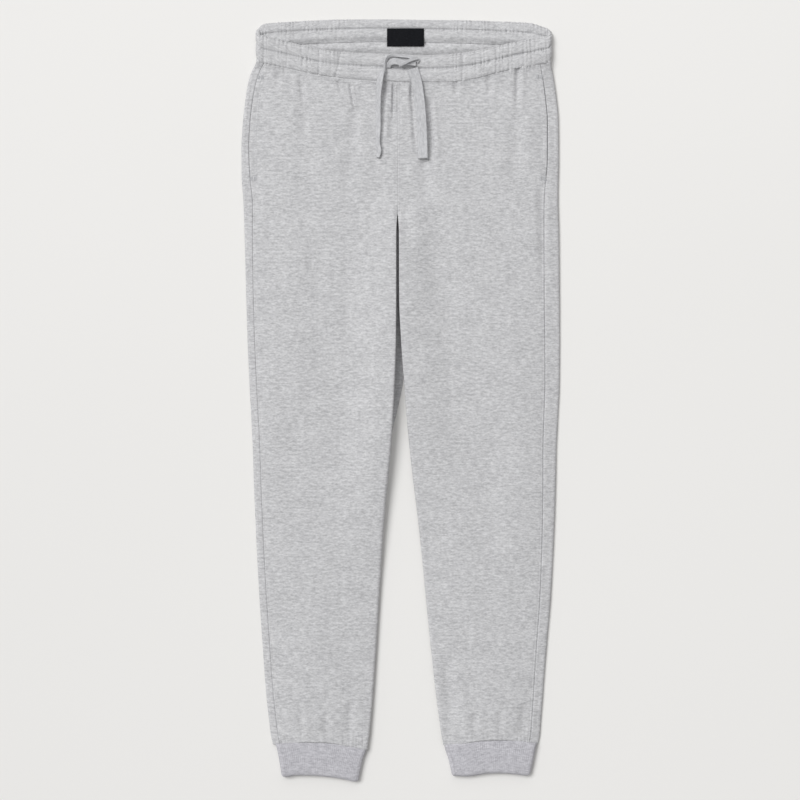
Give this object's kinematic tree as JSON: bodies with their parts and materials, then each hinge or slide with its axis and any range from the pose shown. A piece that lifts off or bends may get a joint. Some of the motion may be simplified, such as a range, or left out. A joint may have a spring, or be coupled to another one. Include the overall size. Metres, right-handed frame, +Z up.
{
  "type": "jogger sweatpants",
  "caption": "Jogger sweatpants laid flat, with a gathered elastic waistband, tied tape drawstring, side pockets and rib cuffs.",
  "frame": {"origin": "middle of the laid garment's outline, on the floor that it lies on", "axes": "+Y from the cuffs to the waistband, +X to the wearer's left leg, +Z up from the floor, out of the front"},
  "size_m": [0.4273, 1.022, 0.0225],
  "materials": {
    "jersey": "grey melange sweatshirt jersey, matt, with short light and dark streaks",
    "rib": "grey melange rib knit, matt",
    "label": "black woven satin tape, bare"
  },
  "bodies": {
    "root": {"front_right": "jersey", "front_left": "jersey", "back_right": "jersey", "back_left": "jersey", "waistband": "jersey", "cuff_right": "rib", "cuff_left": "rib", "pocket_bag_right": "jersey", "pocket_bag_left": "jersey", "label": "label", "drawstring_loop": "jersey", "drawstring_cross": "jersey", "drawstring_end_right": "jersey", "drawstring_end_left": "jersey"}
  },
  "joints": []
}
